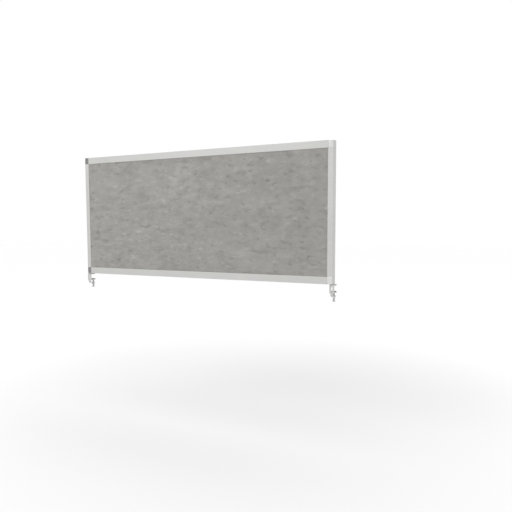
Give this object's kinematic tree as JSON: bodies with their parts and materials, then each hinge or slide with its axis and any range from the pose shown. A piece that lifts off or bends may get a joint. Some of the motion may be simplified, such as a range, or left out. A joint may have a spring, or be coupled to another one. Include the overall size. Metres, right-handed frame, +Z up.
{
  "type": "acoustic desk divider screen",
  "caption": "Wide felt-faced acoustic panel in a slim aluminium frame with metal corner connectors, held upright on a desk edge by a slotted screw clamp under each end.",
  "frame": {"origin": "at mid width, level with the desk's top surface, at the desk's edge, midway between the two clamps", "axes": "+X along the desk's edge towards the right clamp, +Y from the desk's edge back over the desk, +Z up"},
  "size_m": [1.416, 0.045, 0.6876],
  "materials": {
    "frame_aluminium": "satin",
    "corner_metal": "polished",
    "felt": "matte",
    "absorber": "matte",
    "bracket_steel": "satin",
    "zinc_steel": "satin",
    "ring_steel": "satin",
    "rubber": "matte"
  },
  "bodies": {
    "screen": {"top_rail": "frame_aluminium", "bottom_rail": "frame_aluminium", "left_stile": "frame_aluminium", "right_stile": "frame_aluminium", "top_left_corner": "corner_metal", "top_right_corner": "corner_metal", "bottom_left_corner": "corner_metal", "bottom_right_corner": "corner_metal", "front_felt": "felt", "rear_felt": "felt", "absorber_core": "absorber", "left_clamp_bracket": "bracket_steel", "left_bracket_screws": "zinc_steel", "left_jaw_pad": "rubber", "left_clamp_nut": "zinc_steel", "right_clamp_bracket": "bracket_steel", "right_bracket_screws": "zinc_steel", "right_jaw_pad": "rubber", "right_clamp_nut": "zinc_steel"},
    "left_pressure_pad": {"left_pressure_plate": "zinc_steel", "left_plate_facing": "rubber"},
    "left_spindle": {"left_clamp_screw": "zinc_steel", "left_retaining_ring": "ring_steel"},
    "right_pressure_pad": {"right_pressure_plate": "zinc_steel", "right_plate_facing": "rubber"},
    "right_spindle": {"right_clamp_screw": "zinc_steel", "right_retaining_ring": "ring_steel"}
  },
  "joints": [
    {"name": "left_plate_lift", "type": "slide", "parent": "screen", "child": "left_pressure_pad", "axis": [0, 0, 1], "range_m": [-0.00955, 0.00805]},
    {"name": "left_screw_turn", "type": "hinge", "parent": "left_pressure_pad", "child": "left_spindle", "pos_m": [-0.696, 0.024, -0.05], "axis": [0, 0, 1], "range_deg": [-2736, 2304]},
    {"name": "right_plate_lift", "type": "slide", "parent": "screen", "child": "right_pressure_pad", "axis": [0, 0, 1], "range_m": [-0.00955, 0.00805]},
    {"name": "right_screw_turn", "type": "hinge", "parent": "right_pressure_pad", "child": "right_spindle", "pos_m": [0.696, 0.024, -0.05], "axis": [0, 0, 1], "range_deg": [-2736, 2304]}
  ],
  "couplings": [
    {"joint": "left_plate_lift", "follows": "left_screw_turn", "m_per_rad": 0.00019894},
    {"joint": "right_plate_lift", "follows": "right_screw_turn", "m_per_rad": 0.00019894}
  ]
}
